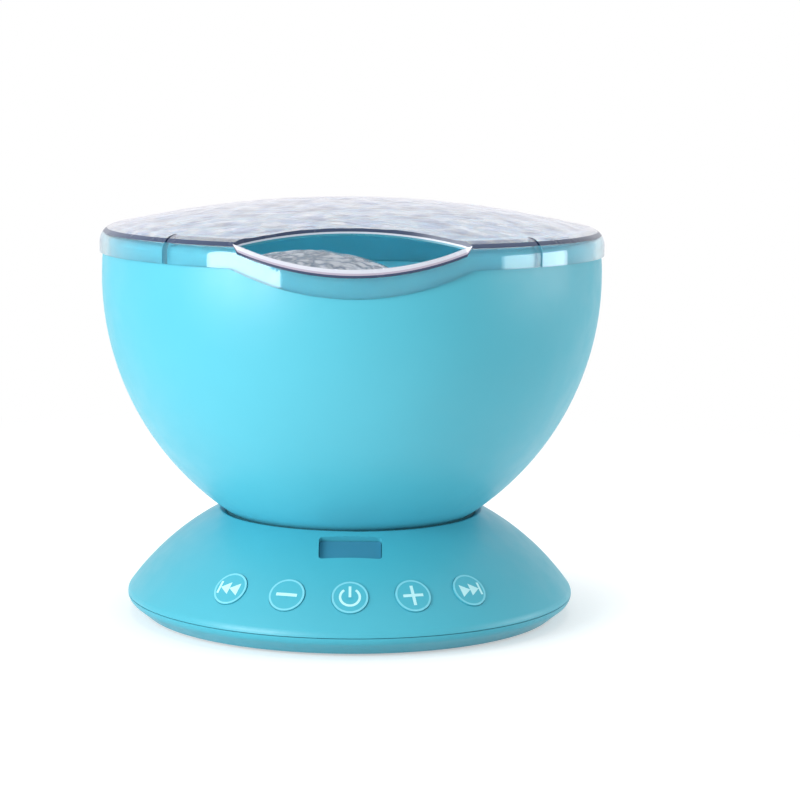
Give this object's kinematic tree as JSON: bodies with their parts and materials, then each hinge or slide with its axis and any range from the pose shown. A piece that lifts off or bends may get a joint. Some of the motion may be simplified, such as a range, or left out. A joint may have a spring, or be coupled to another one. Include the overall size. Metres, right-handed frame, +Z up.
{
  "type": "ocean wave projector",
  "caption": "Lamp bowl under a clear rippled cover that projects moving waves; it tilts on a round base with push keys, an infrared window and a speaker.",
  "frame": {"origin": "on the table, under the axis of the upright bowl", "axes": "+Z up, -Y toward the front with the keys and the notch, +X to the right seen from the front"},
  "size_m": [0.15, 0.15, 0.125],
  "materials": {
    "bowl_blue": "satin moulded ABS, light aqua blue",
    "base_blue": "satin moulded ABS, aqua blue",
    "key_blue": "satin moulded ABS with a pale printed ring and sign",
    "clear_cover": "clear acrylic with a moulded ripple",
    "clear_lens": "clear acrylic with a moulded ripple",
    "window_blue": "smoked blue infrared window",
    "rubber": "black rubber",
    "steel": "zinc plated steel",
    "black_plastic": "black moulded plastic",
    "white_plastic": "white moulded plastic",
    "board": "green circuit board",
    "paper": "pressed paper cone",
    "led": "clear LED body"
  },
  "bodies": {
    "base": {"base_shell": "base_blue", "base_plate": "base_blue", "rubber_feet": "rubber", "base_screws": "steel", "seat_ring": "rubber", "tilt_bolt": "steel", "slide_plate": "white_plastic", "clamp_pad": "rubber", "spring_washers": "steel", "tilt_nut": "steel", "speaker_frame": "black_plastic", "speaker_cone": "paper", "speaker_magnet": "steel", "main_board": "board", "board_screws": "steel", "control_chip": "black_plastic", "capacitors": "black_plastic", "usb_socket": "steel", "audio_jack": "black_plastic", "key_bracket": "white_plastic", "key_boards": "board", "key_switches": "black_plastic", "ir_window": "window_blue", "ir_board": "board", "ir_receiver": "black_plastic"},
    "bowl": {"bowl_shell": "bowl_blue", "lens_cover": "clear_cover", "lamp_deck": "base_blue", "deck_cover": "base_blue", "deck_screws": "steel", "reflector": "white_plastic", "led_board": "board", "leds": "led", "lamp_screws": "steel", "motor_case": "steel", "motor_screws": "steel"},
    "wave_rotor": {"ripple_lens": "clear_lens", "ring_gear": "white_plastic"},
    "pinion": {"drive_pinion": "white_plastic", "motor_shaft": "steel"},
    "previous_key": {"key_previous": "key_blue"},
    "volume_down_key": {"key_volume_down": "key_blue"},
    "power_key": {"key_power": "key_blue"},
    "volume_up_key": {"key_volume_up": "key_blue"},
    "next_key": {"key_next": "key_blue"}
  },
  "joints": [
    {"name": "bowl_tilt", "type": "hinge", "parent": "base", "child": "bowl", "pos_m": [0, 0, 0.094], "axis": [1, 0, 0], "range_deg": [0, 45]},
    {"name": "wave_spin", "type": "hinge", "parent": "bowl", "child": "wave_rotor", "pos_m": [-0.013, 0, 0.0963], "axis": [0, 0, 1], "continuous": true},
    {"name": "pinion_spin", "type": "hinge", "parent": "bowl", "child": "pinion", "pos_m": [0.02825, 0, 0.0963], "axis": [0, 0, 1], "continuous": true},
    {"name": "previous_press", "type": "slide", "parent": "base", "child": "previous_key", "axis": [0.4078, 0.5934, -0.694], "range_m": [0, 0.0006], "stiffness_N_per_m": 500},
    {"name": "volume_down_press", "type": "slide", "parent": "base", "child": "volume_down_key", "axis": [0.2135, 0.6876, -0.694], "range_m": [0, 0.0006], "stiffness_N_per_m": 500},
    {"name": "power_press", "type": "slide", "parent": "base", "child": "power_key", "axis": [0, 0.72, -0.694], "range_m": [0, 0.0006], "stiffness_N_per_m": 500},
    {"name": "volume_up_press", "type": "slide", "parent": "base", "child": "volume_up_key", "axis": [-0.2135, 0.6876, -0.694], "range_m": [0, 0.0006], "stiffness_N_per_m": 500},
    {"name": "next_press", "type": "slide", "parent": "base", "child": "next_key", "axis": [-0.4078, 0.5934, -0.694], "range_m": [0, 0.0006], "stiffness_N_per_m": 500}
  ],
  "couplings": [
    {"joint": "pinion_spin", "follows": "wave_spin", "ratio": -4.5}
  ]
}
